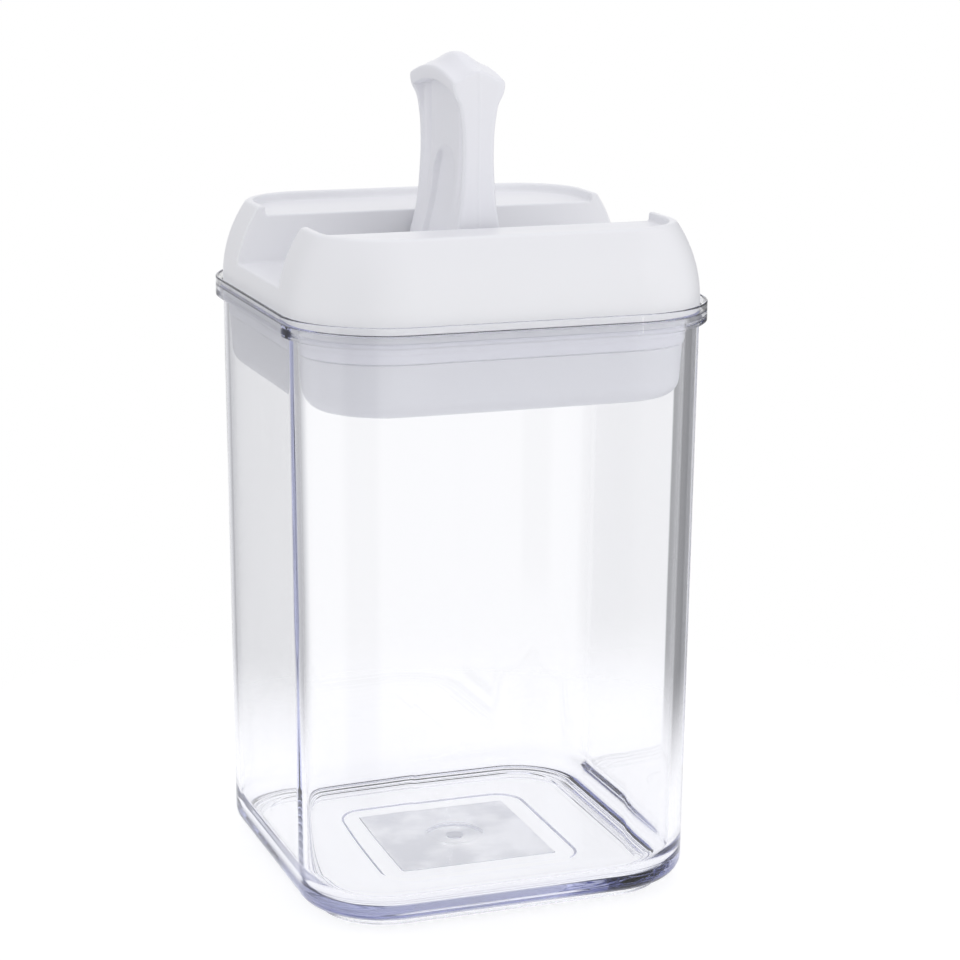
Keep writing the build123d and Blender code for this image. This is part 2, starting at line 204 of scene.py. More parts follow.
def carve(obj, cutter):
    """Cuts one closed piece out of another, then throws the cutter away."""
    cut = obj.modifiers.new("carve", "BOOLEAN")
    cut.object, cut.solver = cutter, "EXACT"
    apply_modifiers(obj)
    bpy.data.objects.remove(cutter)


# %% [markdown]
# ## The clear jar
# The jar is one thick-walled shot of clear acrylic: a foot ring, a rounded heel, drafted walls
# and a flanged rim with a small upstanding lip. A shell with a Solidify modifier would give an
# even wall, but the real base, bowl and rim differ in thickness. So the outline goes right
# round the section, underside first, and is swept in one go.

# %% Jar measures
FOOT_IN, FOOT_OUT, BASE_Z, FROST_Z = 13.3, 15.8, 2.2, 2.7
WALL_LOW_S, WALL_TOP_S, WALL = 21.2, 22.55, 3.0
RIM_S, RIM_LIP, RIM_LOW_Z, LEDGE_Z, RIM_TOP_Z = 24.4, 0.8, 138.3, 141.0, 143.2
FLOOR_Z, FLOOR_SUNK_Z, HEEL_RADIUS, BOWL_RADIUS = 4.6, 4.5, 4.15, 7.0
STEP_OUT, STEP_IN = 10.3, 9.9
print("jar's inside width at the floor:", 2 * (CORNER + WALL_LOW_S - WALL))

# %% [markdown]
# The underside carries what the mould leaves: a gate mark in the middle, a faint round witness
# line about it, a frosted square, and a shallow square recess round that. They could be cut or
# painted on. But rings may change from circle to square as they grow, since a ring is a half
# width and a corner radius, so the marks are just a few more rings of the same surface.

# %% Underside, as rows of half width, corner radius and height
gate_mark = [(0.0, 2.35), (1.0, 2.35), (1.5, 2.42), (1.75, 2.62), (2.0, FROST_Z), (2.4, FROST_Z)]
witness_line = [(5.6, FROST_Z), (6.1, 2.8), (6.6, 2.84), (7.1, 2.8), (7.6, FROST_Z), (8.0, FROST_Z)]
frosted_edge = [(19.3, 0.8, FROST_Z), (19.45, 0.8, FROST_Z), (19.5, 0.8, 2.72), (19.6, 0.8, 2.82),
                (19.75, 0.8, 2.82)]
recess_edge = [(24.2, 6.2, 2.82), (24.45, 6.45, 2.82), (24.7, 6.7, 2.76), (24.9, 6.9, 2.5),
               (25.0, 7.0, 2.28), (25.2, 7.2, BASE_Z), (25.5, 7.5, BASE_Z)]
jar_under = np.array([(r, r, z) for r, z in gate_mark + witness_line] + frosted_edge + recess_edge)
print("rings under the jar:", len(jar_under))

# %% Wall, rim and bowl, from the foot outwards, up and back in
jar_wall = rounded(
    [(5.0, BASE_Z), (FOOT_IN, BASE_Z), (FOOT_IN, 0.0), (FOOT_OUT, 0.0), (FOOT_OUT, BASE_Z),
     (WALL_LOW_S, BASE_Z), (WALL_TOP_S, RIM_LOW_Z), (RIM_S, RIM_LOW_Z), (RIM_S, RIM_TOP_Z),
     (RIM_S - RIM_LIP, RIM_TOP_Z), (RIM_S - RIM_LIP, LEDGE_Z), (WALL_TOP_S - WALL, LEDGE_Z),
     (WALL_LOW_S - WALL, FLOOR_Z), (STEP_OUT, FLOOR_Z), (STEP_IN, FLOOR_SUNK_Z), (2.0, FLOOR_SUNK_Z)],
    [0.4, 0.45, 0.55, 0.4, HEEL_RADIUS, 0.6, 0.5, 0.35, 0.3, 0.4, 0.6, BOWL_RADIUS, 0.3, 0.3],
    steps=8,
)
jar_floor = np.array([
    (16.0, 12.0, FLOOR_SUNK_Z), (7.6, 7.6, FLOOR_SUNK_Z), (7.2, 7.2, 4.48), (6.6, 6.6, 4.4),
    (5.2, 5.2, 4.22), (3.4, 3.4, 4.06), (1.6, 1.6, 3.97), (0.0, 0.0, 3.95),
])
wall_rings = np.column_stack([CORNER + jar_wall[:, 0], jar_wall[:, 0], jar_wall[:, 1]])
jar = piece("clear_jar", [grid(rings(*np.vstack([jar_under, wall_rings, jar_floor]).T))])

# %% [markdown]
# ## The plug cup
# The plug is a white cup that hangs in the jar's mouth. Its side is drafted by half a
# millimetre and its lower edge is well rounded. Seen from below it has a shallow stepped panel,
# which keeps a moulded face that size from sinking. Another sweep of one outline does it.

# %% Plug cup
CUP_LOW_Z, CUP_TOP_Z, CUP_LOW_S, CUP_TOP_S, CUP_WALL = 121.2, 134.0, 17.9, 18.7, 2.0
PANEL_Z, CUP_FLOOR_Z, PLATE_LEDGE_Z, PLATE_LEDGE_S = 121.9, 123.4, 131.8, 15.9
cup_profile = rounded(
    [(1.0, PANEL_Z), (8.6, PANEL_Z), (9.0, CUP_LOW_Z), (CUP_LOW_S, CUP_LOW_Z),
     (CUP_TOP_S, CUP_TOP_Z), (CUP_TOP_S - CUP_WALL, CUP_TOP_Z), (CUP_TOP_S - CUP_WALL, PLATE_LEDGE_Z),
     (PLATE_LEDGE_S, PLATE_LEDGE_Z), (15.5, CUP_FLOOR_Z), (1.0, CUP_FLOOR_Z)],
    [0.4, 0.3, 4.4, 0.4, 0.2, 0.15, 0.2, 1.6], steps=8,
)
cup_rings = np.column_stack([CORNER + cup_profile[:, 0], cup_profile[:, 0], cup_profile[:, 1]])
cup_centre = [(0, 0, PANEL_Z), (6, 6, PANEL_Z)]
cup_inside = [(6, 6, CUP_FLOOR_Z), (0, 0, CUP_FLOOR_Z)]
plug = piece("plug_cup_skin", [grid(rings(*np.vstack([cup_centre, cup_rings, cup_inside]).T))])

# %% [markdown]
# ## The gasket
# A soft ring sits between plug and carrier. When the lever comes down the ring is squeezed and
# swells against the jar. Its outer face is one full, blunt bead with a hairline groove at mid
# height, which lets it fold evenly. A torus would be too round. The square root of a sine rises
# fast and stays flat on top, as the bead does, and a high power of a cosine cuts the hairline.

# %% Gasket
GASKET_LOW_Z, GASKET_HEIGHT, BEAD_FOOT_S, BEAD_RISE, GROOVE_DEPTH = 134.0, 5.0, 18.8, 0.5, 0.12
GROOVE_HALF = 0.6
bead_z = np.linspace(134.25, 138.75, 23)
middle = bead_z - GASKET_LOW_Z - GASKET_HEIGHT / 2
hairline = np.cos(np.pi * middle / (2 * GROOVE_HALF)) ** 8 * (np.abs(middle) < GROOVE_HALF)
swell = np.sin(np.pi * (bead_z - GASKET_LOW_Z) / GASKET_HEIGHT) ** 0.5
bead_s = BEAD_FOOT_S + BEAD_RISE * swell - GROOVE_DEPTH * hairline
gasket_profile = np.vstack([
    [(17.2, 134.0), (18.3, 134.0), (18.6, 134.06)], np.column_stack([bead_s, bead_z]),
    [(18.6, 138.94), (18.3, 139.0), (16.2, 139.0), (15.98, 138.92), (15.9, 138.7),
     (15.9, 134.3), (15.98, 134.08), (16.2, 134.0)],
])
gasket = piece("soft_gasket", [grid(swept(gasket_profile), along=True)])

# %% [markdown]
# ## The lid cover
# The cover is a thin white shell: a bulging skirt, two raised halves with a sunken shelf inside
# a rounded lip, and a straight channel for the lever between them. Cutting the channel out of a
# finished body leaves ragged slivers where the cut meets the curve. Here the path has marks
# exactly at the channel's walls, so the channel is left open in the grid and then panelled.
# The same recipe, set in by one wall, makes the inside of the shell.

# %% Cover measures
BULGE_Z, BULGE_RADIUS, SKIRT_S, COVER_WALL, SKIRT_LOW_Z = 143.0, 32.0, 22.6, 2.0, 141.2
CHANNEL_HALF, CHANNEL_Z, INSIDE_HALF, INSIDE_Z = 18.1, 148.0, 20.1, 145.8
POCKET_X, POCKET_Y, POCKET_Z, BUSH_HOLE = 11.0, 16.8, 147.2, 5.8
LIP_S, LIP_TOP_Z, SHELF_Z, SHELF_UNDER_Z = 14.9, 161.6, 159.5, 157.4
cover_path = square_path(mirrored(0.0, 10.0, CHANNEL_HALF, INSIDE_HALF, 23.0), 28)
print("points round the cover:", len(cover_path[0]))

# %% The skirt's bulge


def bulge(z, wall=0.0):
    """How far the skirt stands out at each height: one circular arc, upright at BULGE_Z."""
    return SKIRT_S - BULGE_RADIUS + np.sqrt((BULGE_RADIUS - wall) ** 2 - (z - BULGE_Z) ** 2)


def bulge_rows(low, high, count, wall=0.0):
    """Profile points on the bulge between two heights."""
    z = np.linspace(low, high, count)
    return np.column_stack([bulge(z, wall), z])


# %% Small shapes for the cover


def ring_hole(radius, count=48):
    """Points round a circle about the middle, starting on the front and going by the left."""
    turn = -np.pi / 2 - np.linspace(0, 2 * np.pi, count, endpoint=False)
    return np.column_stack([radius * np.cos(turn), radius * np.sin(turn)])


def at_height(flat, z):
    """Flat points raised to a height."""
    return np.column_stack([flat, np.full(len(flat), z)])


def both_ways(patch):
    """A patch and itself turned half round, for the cover's two like halves."""
    points, faces = patch
    return [(points, faces), (points * [-1, -1, 1], faces)]


# %% One skin of the cover


def cover_skin(skirt, raised, half, floor_z):
    """Skirt rings right round, raised rings round each half, then the flat shelf, channel wall
    and the rim of the channel's floor, which meet on the planes y = +-half."""
    back = np.flatnonzero(swept(raised[:1], cover_path)[0, :, 1] > half - 1e-6)
    upper = swept(raised, cover_path)[:, back]
    shelf = panel(upper[-1])
    wall = panel(np.vstack([upper[:, 0], upper[::-1, -1], [(0.0, half, floor_z)]]))
    patches = [grid(swept(skirt, cover_path))]
    for patch in (grid(upper, around=False), shelf, wall):
        patches += both_ways(patch)
    edge = swept(skirt[-1:], cover_path)[0]
    gate = np.flatnonzero((edge[:, 0] < 0) & (np.abs(edge[:, 1]) < half + 1e-6))
    return patches, edge[gate]


def floor_half(gate, half, floor_z, inner):
    """Left half of a floor, round an inner outline that runs from front to back."""
    return panel(np.vstack([[(0.0, half, floor_z)], gate, [(0.0, -half, floor_z)], inner]))


# %% Outlines of the cover's outer and inner skins
slope = (160.2 - BULGE_Z) / (bulge(160.2) - SKIRT_S + BULGE_RADIUS)
crest_s = bulge(159.8) - slope * (LIP_TOP_Z - 159.8)
crest = rounded([(bulge(159.8), 159.8), (crest_s, LIP_TOP_Z), (LIP_S, LIP_TOP_Z), (LIP_S, SHELF_Z),
                 (13.6, SHELF_Z)], [1.6, 0.7, 0.7])
skirt_foot = [(20.6, 141.5), (20.6, SKIRT_LOW_Z), (bulge(SKIRT_LOW_Z), SKIRT_LOW_Z),
              (bulge(142.4), 142.4)]
skirt_out = np.vstack([rounded(skirt_foot, [0.1, 0.3]), bulge_rows(BULGE_Z, CHANNEL_Z, 6)])
raised_out = np.vstack([bulge_rows(CHANNEL_Z, 159.4, 12), crest])
skirt_in = bulge_rows(141.5, INSIDE_Z, 5, COVER_WALL)
skirt_in[0] = skirt_foot[0]
roof = rounded([(bulge(156.0, COVER_WALL), 156.0), (bulge(SHELF_UNDER_Z, COVER_WALL), SHELF_UNDER_Z),
                (13.2, SHELF_UNDER_Z)], [0.8])
raised_in = np.vstack([bulge_rows(INSIDE_Z, 155.5, 8, COVER_WALL), roof])
print("lip's flat width:", round(crest_s - LIP_S, 2))

# %% Skins, channel floor and the pocket for the wear plate
outside, gate_out = cover_skin(skirt_out, raised_out, CHANNEL_HALF, CHANNEL_Z)
inside, gate_in = cover_skin(skirt_in, raised_in, INSIDE_HALF, INSIDE_Z)
pocket = np.array([(0, -POCKET_Y), (-POCKET_X, -POCKET_Y), (-POCKET_X, POCKET_Y), (0, POCKET_Y)], float)
circle = ring_hole(BUSH_HOLE)
left_arc = circle[: len(circle) // 2 + 1]
pocket_outline = np.vstack([pocket, -pocket[1:3]])
pocket_walls = np.stack([at_height(pocket_outline, z) for z in (CHANNEL_Z, POCKET_Z)])
floors = [
    floor_half(gate_out, CHANNEL_HALF, CHANNEL_Z, at_height(pocket, CHANNEL_Z)),
    panel(np.vstack([at_height(pocket, POCKET_Z)[::-1], at_height(left_arc, POCKET_Z)])),
    floor_half(gate_in, INSIDE_HALF, INSIDE_Z, at_height(left_arc, INSIDE_Z)),
]
patches = outside + inside + [q for f in floors for q in both_ways(f)]
patches.append(grid(pocket_walls))
patches.append(grid(np.stack([at_height(circle, POCKET_Z), at_height(circle, INSIDE_Z)])))
cover = piece("cover_shell", patches)

# %% [markdown]
# The channel's edges are the only sharp ones left. A Bevel modifier rounds just those, told
# by a weight on each edge, and its hardened normals keep the big flat faces flat.

# %% Round the channel's edges


def weigh_edges(obj, least_angle, keep):
    """Writes each edge's bevel weight: 1 where its faces meet sharply and keep(ends) says so."""
    bm = bmesh.new()
    bm.from_mesh(obj.data)
    layer = bm.edges.layers.float.new("bevel_weight_edge")
    sharp = [e for e in bm.edges if e.is_manifold and e.calc_face_angle() > least_angle]
    for edge in sharp:
        edge[layer] = keep(np.array([v.co for v in edge.verts]) / MM)
    bm.to_mesh(obj.data)
    bm.free()
    print(obj.name, "sharp edges:", len(sharp))


def cover_weight(ends):
    """Full weight on the channel, none in the small pocket or inside the shell."""
    low, high = np.abs(ends).min(axis=0), np.abs(ends).max(axis=0)
    in_pocket = high[0] < POCKET_X + 0.1 and high[1] < POCKET_Y + 0.1
    return 0.0 if in_pocket or low[2] < CHANNEL_Z - 0.1 or low[1] > CHANNEL_HALF + 0.1 else 1.0


weigh_edges(cover, math.radians(30), cover_weight)
bevel = cover.modifiers.new("soft_edges", "BEVEL")
bevel.limit_method, bevel.width, bevel.segments = "WEIGHT", 0.55 * MM, 4
bevel.use_clamp_overlap, bevel.harden_normals = False, True
apply_modifiers(cover)

# %% [markdown]
# ## The flip lever
# The lever is gripped between finger and thumb. Seen from its narrow side it has an hourglass
# outline that flares at the head. Each broad side is dished, with a thin flange down both edges,
# an arched scoop below and a brow that hangs over the dish. Sculpting would reach that shape,
# but it wouldn't be repeatable. Instead each broad side is a height map: thickness as a function
# of place across and up, with rows that bend to follow the brow, so the overhang stays crisp.

# %% Lever measures, and two smooth curves
HALF_WIDTH, EDGE_ROUND, HUB_RADIUS, HUB_Z, PIVOT_Z = 16.0, 0.8, 6.5, 154.7, 152.7
BROW_V, EAVES_V = 189.6, 192.8


def smooth_table(table, at):
    """Smooth curve through a table: between two entries a cubic that keeps both end slopes, each
    slope being the mean of the runs beside it."""
    x, y = np.array(table).T
    slope = np.gradient(y, x)
    at = np.clip(at, x[0], x[-1])
    k = np.clip(np.searchsorted(x, at, side="right") - 1, 0, len(x) - 2)
    step = x[k + 1] - x[k]
    t = (at - x[k]) / step
    return (y[k] * (1 + 2 * t) * (1 - t) ** 2 + slope[k] * step * t * (1 - t) ** 2
            + y[k + 1] * t * t * (3 - 2 * t) + slope[k + 1] * step * t * t * (t - 1))


def ease(t):
    """Smooth step from 0 to 1."""
    t = np.clip(t, 0, 1)
    return t * t * (3 - 2 * t)


# %% [markdown]
# The tables below are (height, half thickness) pairs, given like the stations of a
# boat's hull: few enough to read, with a smooth curve through them. EDGE_HALF is the hourglass
# outline, WEB_HALF the dished side before its hollow, GROOVE the channel along each flange.

# %% Stations of the lever
EDGE_HALF = [(154.7, 6.5), (159, 5.35), (164, 4.5), (169, 4.05), (177, 3.75), (184, 4.2),
             (187.5, 4.9), (190, 6.1), (191.3, 6.4), (193, 6.4)]
WEB_HALF = [(154.7, 6.5), (159, 5.35), (164, 4.5), (169, 4.05), (177, 3.75), (184, 4.0),
            (187.5, 4.2), (191, 4.4), (193, 4.6)]
DISH = [(150, 0.0), (156, 0.25), (162, 0.6), (170, 0.95), (180, 1.3), (186, 1.6), (190, 2.0)]
GROOVE = [(150, 0.0), (161, 0.0), (168, 0.6), (176, 1.1), (186, 1.3), (190, 1.0)]
SCOOP_HALF = [(150, 4.6), (157.7, 4.1), (162, 3.0), (167, 2.1), (171, 1.6), (174, 1.75), (178, 2.9)]
GABLE_DROP = [(0, 0.0), (1.1, 0.12), (2.4, 0.85), (4, 1.8), (5.2, 2.35), (6.4, 2.7)]
GABLE_HALF, GABLE_FALL, EAVES_RISE = 6.4, 2.7, 2.8
SCOOP_ARCH_Z, SCOOP_ARCH_RADIUS = 169.2, 7.8
print("lever's waist:", round(2 * float(smooth_table(EDGE_HALF, np.array([177.0]))[0]), 2), "thick")

# %% Thickness of the grip, height of the head


def broad_half(y, v):
    """Half thickness across the broad side, for height v measured along its edges. The flange
    keeps the outline; inside it the web is dished by a parabola, a bell curve sinks a groove
    beside each flange, and an arch-shaped scoop goes deeper."""
    outline = smooth_table(EDGE_HALF, v)
    hollow = smooth_table(DISH, v) * (0.45 + 0.55 * (1 - (y / 13.6) ** 2))
    groove = smooth_table(GROOVE, v) * np.exp(-(((np.abs(y) - 11.6) / 1.2) ** 2))
    web = smooth_table(WEB_HALF, v) - hollow - groove
    below_brow = ease((BROW_V + 0.12 - v) / 0.12)
    half = outline + (web - outline) * ease((14.5 - np.abs(y)) / 0.8) * below_brow
    beyond_arch = np.hypot(y, np.maximum(v - SCOOP_ARCH_Z, 0)) - SCOOP_ARCH_RADIUS
    scoop = np.minimum(half, smooth_table(SCOOP_HALF, v))
    return half + (scoop - half) * ease(-beyond_arch / 0.5)


def crown(x, y):
    """Height of the head's roof: a gable across it, and a dome along it."""
    drop = smooth_table(GABLE_DROP, np.abs(x)) / GABLE_FALL
    crest = 195.5 + 3.3 * 0.5 * (1 + np.cos(np.pi * y / HALF_WIDTH))
    eaves = EAVES_V + EAVES_RISE * (1 - (y / HALF_WIDTH) ** 2)
    return crest * (1 - drop) + eaves * drop


# %% [markdown]
# Each ring of the lever lists the same points in the same order, so rings stack into one grid.
# The points crowd together near the flanges, where the shape turns fastest.

# %% One ring of the lever
across = np.concatenate([np.linspace(-15.2, -12.8, 9)[:-1], np.linspace(-12.8, 12.8, 86),
                         np.linspace(12.8, 15.2, 9)[1:]])
corner_turn = np.linspace(0, np.pi / 2, 6)[1:-1]
narrow = np.concatenate([np.linspace(1, 0.06, 8), [0.02, -0.02], np.linspace(-0.06, -1, 8)])
seam = 0.05 * (np.abs(narrow) < 0.03)


def lever_ring(v):
    """Closed ring at edge height v, as x and y: broad side, round corner, narrow side, and the
    same again turned half round. A low ridge down the narrow side is the mould's parting line."""
    outline = smooth_table(EDGE_HALF, v)
    outline = np.where(v < HUB_Z, np.sqrt(np.maximum(HUB_RADIUS**2 - (v - HUB_Z) ** 2, 0)), outline)
    round_ = np.minimum(EDGE_ROUND, 0.9 * outline)
    face_y = across[None] * (HALF_WIDTH - round_)[:, None] / (HALF_WIDTH - EDGE_ROUND)
    low = np.minimum(broad_half(face_y, v[:, None]), outline[:, None])
    face_x = np.where(v[:, None] < HUB_Z, outline[:, None], low)
    corner_x = (outline - round_)[:, None] + round_[:, None] * np.cos(corner_turn)
    corner_y = (HALF_WIDTH - round_)[:, None] + round_[:, None] * np.sin(corner_turn)
    side_x = (outline - round_)[:, None] * narrow
    side_y = np.broadcast_to(HALF_WIDTH + seam, side_x.shape)
    x = np.hstack([face_x, corner_x, side_x, corner_x[:, ::-1] * -1])
    y = np.hstack([face_y, corner_y, side_y, corner_y[:, ::-1]])
    return np.hstack([x, -x]), np.hstack([y, -y])


# %% Hub, grip and head as one stack of rings
hub_rows = HUB_Z - HUB_RADIUS * np.cos(np.linspace(0, np.pi / 2, 16))[:-1]
grip_rows = np.linspace(HUB_Z, BROW_V - 0.3, 84)
head_rows = np.array([BROW_V - 0.1, BROW_V, BROW_V + 0.06, BROW_V + 0.12, BROW_V + 0.3, 190.3,
                      190.9, 191.6, 192.2])
v = np.concatenate([hub_rows, grip_rows, head_rows])
lever_x, lever_y = lever_ring(v)
roof_round = 0.6
rise = crown(np.clip(lever_x[-1], -GABLE_HALF, GABLE_HALF), lever_y[-1]) - roof_round - head_rows[-1]
ramp = ease((v - 178.0) / (BROW_V - 178.0))[:, None]
lever_z = v[:, None] + rise * ramp
body = np.stack([lever_x, lever_y, lever_z], axis=2)
print("rings up the lever:", len(v))

# %% [markdown]
# The roof starts at the top ring. A quarter circle rounds the eaves, then the ring shrinks to a
# short ridge line along Y while the crown's height carries it up. A plain fan to one point would
# pinch the shading in the middle, where the light falls strongest.

# %% Lever roof
edge_x, edge_y = body[-1, :, 0], body[-1, :, 1]
edge_turn = np.linspace(0, np.pi / 2, 5)[1:, None]
inset = roof_round * (1 - np.cos(edge_turn))
shrunk = [edge_x * (1 - inset / GABLE_HALF), edge_y * (1 - inset / HALF_WIDTH)]
eaves = np.stack([*shrunk, crown(*shrunk) - roof_round * (1 - np.sin(edge_turn))], axis=2)
share = np.linspace(0, 1, 15)[1:, None]
last_x, last_y = eaves[-1, :, 0], eaves[-1, :, 1]
roof_x = last_x * (1 - share)
ridge_half = 9
roof_y = last_y + (np.clip(last_y, -ridge_half, ridge_half) - last_y) * share
roof = np.stack([roof_x, roof_y, crown(roof_x, roof_y)], axis=2)
lever = piece("flip_lever", [grid(np.vstack([body, eaves, roof]))])

# %% [markdown]
# The hub is forked for the post's eye and drilled for the hinge pin. Both are plain cuts with
# flat or round tools on the real mould too, so here a Boolean modifier is the honest choice.

# %% Cutters


def brick(name, low, high):
    """Closed box between two corners, used only as a cutter."""
    (x0, y0, z0), (x1, y1, z1) = low, high
    ring = np.array([(x1, y0), (x1, y1), (x0, y1), (x0, y0)])
    middle = np.tile(ring.mean(axis=0), (4, 1))
    rows = [at_height(middle, z0), at_height(ring, z0), at_height(ring, z1), at_height(middle, z1)]
    return piece(name, [grid(np.stack(rows))])


def cross_drill(name, radius, half, z, count=40):
    """Closed cylinder along Y, used only as a cutter."""
    turn = np.linspace(0, 2 * np.pi, count, endpoint=False)
    size = np.array([0.0, radius, radius, 0.0])[:, None]
    y = np.array([-half, -half, half, half])[:, None] + 0 * turn
    return piece(name, [grid(np.stack([size * np.sin(turn), y, z + size * np.cos(turn)], axis=2))])


# %% Fork the hub and drill the pin's hole
carve(lever, brick("fork_cutter", (-3.8, -3.8, 140.0), (20.0, 3.8, 156.9)))
carve(lever, cross_drill("pin_drill", 1.51, 20.0, PIVOT_Z))

# %% [markdown]
# ## Handing the pieces to the frame
# The frame has bodies: the jar, the lid, the plunger and the lever. Each visible skin takes the
# place of one CAD part, keeps its material slot and rides on its body, so it moves when that
# body moves. Parenting by hand would do the same at rest, but the frame wouldn't know of it.

for obj, body_name, node, finish in (
    (jar, "canister", "canister_body", "clear_acrylic"),
    (plug, "plunger", "plug_cup", "white_plastic"),
    (gasket, "lid", "lid_gasket", "silicone"),
    (cover, "lid", "lid_cover", "white_plastic"),
    (lever, "lever", "lever", "lever_plastic"),
):
    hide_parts(node)
    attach(obj, body_name)
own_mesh(gasket)
print("visible skins:", [obj.name for obj in (jar, plug, gasket, cover, lever)])

# %% [markdown]
# ## How the finishes are built
# Each finish is a small node graph. A painted image would need unwrapping and has a fixed
# sharpness, whereas noise worked out at each point stays crisp close up. All of them read Object
# coordinates, which are metres measured on the piece itself, so nothing slides when a part moves.

# %% Finish helpers


def new_finish(name, colour, roughness, **sockets):
    """Material with a Principled shader; sockets are set by their own names."""
    material = bpy.data.materials.new(name)
    material.use_nodes = True
    shader = material.node_tree.nodes["Principled BSDF"]
    shader.inputs["Base Color"].default_value = (*colour, 1)
    shader.inputs["Roughness"].default_value = roughness
    for socket, value in sockets.items():
        shader.inputs[socket].default_value = value
    material.diffuse_color = (*colour, 1)
    return material, shader


def add(owner, kind, links=(), **settings):
    """Adds a node to a material or world, sets its properties or inputs by name, and wires its
    inputs from the given outputs."""
    node = owner.node_tree.nodes.new("ShaderNode" + kind)
    for key, value in settings.items():
        if key in node.inputs:
            node.inputs[key].default_value = value
        else:
            setattr(node, key, value)
    for socket, source in dict(links).items():
        owner.node_tree.links.new(source, node.inputs[socket])
    return node


# %% Helpers for single steps of a graph


def wire(owner, source, target):
    """Joins an output to an input."""
    owner.node_tree.links.new(source, target)


def remap(owner, source, low, high, to_low=0.0, to_high=1.0, **settings):
    """Output that runs from to_low to to_high while the source runs from low to high."""
    ends = {"From Min": low, "From Max": high, "To Min": to_low, "To Max": to_high}
    return add(owner, "MapRange", {"Value": source}, **ends, **settings).outputs["Result"]


def blend_colours(owner, share, first, second):
    """Mix node between two colours, each given as a constant or as an output."""
    mix = add(owner, "Mix", {"Factor": share}, data_type="RGBA")
    for socket, colour in ((6, first), (7, second)):
        if isinstance(colour, tuple):
            mix.inputs[socket].default_value = (*colour, 1)
        else:
            wire(owner, colour, mix.inputs[socket])
    return mix.outputs[2]


def arithmetic(owner, operation, first, second=None, constant=None):
    """One Math node on one or two outputs, or on an output and a constant."""
    node = add(owner, "Math", {0: first}, operation=operation)
    if second is not None:
        wire(owner, second, node.inputs[1])
    if constant is not None:
        node.inputs[1].default_value = constant
    return node.outputs[0]


# %% [markdown]
# ## Moulded plastic
# The white parts are injection moulded. Their colour drifts very slightly where the melt flowed,
# and the mould's spark-eroded steel leaves a fine grain, which breaks up the gloss and scatters
# the highlights. Grain in the mesh would need millions of faces, so it is a bump here, while
# every shape that can be seen at arm's length is in the geometry.

# %% Moulded plastic
GLOSS_SPREAD, GRAIN_HEIGHT, DRIFT_SCALE = 0.05, 0.00004, 38.0


def moulded(name, colour, shade, roughness, grain, bump):
    """Moulded plastic: a coarse noise drifts from colour to shade, and a fine noise of scale grain
    moves the roughness by a little and raises the surface."""
    material, shader = new_finish(name, colour, roughness)
    place = add(material, "TexCoord").outputs["Object"]
    drift = add(material, "TexNoise", {"Vector": place}, Scale=DRIFT_SCALE, Detail=3.0)
    wire(material, blend_colours(material, drift.outputs["Fac"], colour, shade),
         shader.inputs["Base Color"])
    fine = add(material, "TexNoise", {"Vector": place}, Scale=grain, Detail=2.0).outputs["Fac"]
    gloss = remap(material, fine, 0, 1, roughness - GLOSS_SPREAD, roughness + GLOSS_SPREAD)
    wire(material, gloss, shader.inputs["Roughness"])
    relief = add(material, "Bump", {"Height": fine}, Strength=bump, Distance=GRAIN_HEIGHT)
    wire(material, relief.outputs["Normal"], shader.inputs["Normal"])
    return material


finishes = {
    "white_plastic": moulded("moulded_white", (0.9, 0.9, 0.925), (0.875, 0.88, 0.905), 0.33, 2600, 0.35),
    "lever_plastic": moulded("lever_white", (0.89, 0.89, 0.93), (0.865, 0.87, 0.91), 0.3, 2600, 0.3),
    "silicone": moulded("soft_seal", (0.93, 0.93, 0.97), (0.9, 0.9, 0.95), 0.5, 1800, 0.3),
    "acetal": moulded("acetal_natural", (0.82, 0.82, 0.80), (0.79, 0.79, 0.77), 0.35, 2600, 0.3),
}
print("plastics:", sorted(finishes))

# %% [markdown]
# ## Metals
# The screws, washer, pin and spring are plain steel. A metal's base colour is its reflection, so
# the same graph serves with Metallic at one and a finer grain, like drawn wire.

# %% Steel and spring steel
for slot_name, tone, rough in (("steel", 0.55, 0.3), ("spring_steel", 0.42, 0.34)):
    metal = moulded(slot_name + "_metal", (tone,) * 3, (tone * 0.9,) * 3, rough, 4200, 0.4)
    metal.node_tree.nodes["Principled BSDF"].inputs["Metallic"].default_value = 1.0
    finishes[slot_name] = metal
print("finishes so far:", len(finishes))

# %% [markdown]
# ## Clear acrylic
# The jar is clear acrylic. It bends light with an index of 1.49, its walls wave very slightly
# from the cooling, and light that runs along inside a wall picks up a blue-violet cast, which is
# why edges and heel look tinted while a wall seen face on doesn't. A tinted surface would colour
# all of it alike, so the tint is a volume absorption, which grows with the distance travelled.

# %% Clear acrylic, its waves and its tint
clear, clear_shader = new_finish("clear_jar_plastic", (1, 1, 1), 0.0,
                                 **{"Transmission Weight": 1.0, "IOR": 1.49})
place = add(clear, "TexCoord").outputs["Object"]
wave = add(clear, "TexNoise", {"Vector": place}, Scale=26.0, Detail=1.0)
ripple = add(clear, "Bump", {"Height": wave.outputs["Fac"]}, Strength=0.25, Distance=0.0006)
wire(clear, ripple.outputs["Normal"], clear_shader.inputs["Normal"])
body_tint = add(clear, "VolumeAbsorption", Color=(0.66, 0.69, 0.92, 1), Density=17.0)
jar_output = clear.node_tree.nodes["Material Output"]
wire(clear, body_tint.outputs[0], jar_output.inputs["Volume"])
print("clear acrylic: index of refraction", clear_shader.inputs["IOR"].default_value)

# %% [markdown]
# The square under the base is left frosted by the mould. It could be a second material, but its
# border is plain arithmetic: the larger of |x| and |y| below the square's half width, and z near
# the floor. That mask raises the roughness and lets a smudgy, cloudy tone show through.

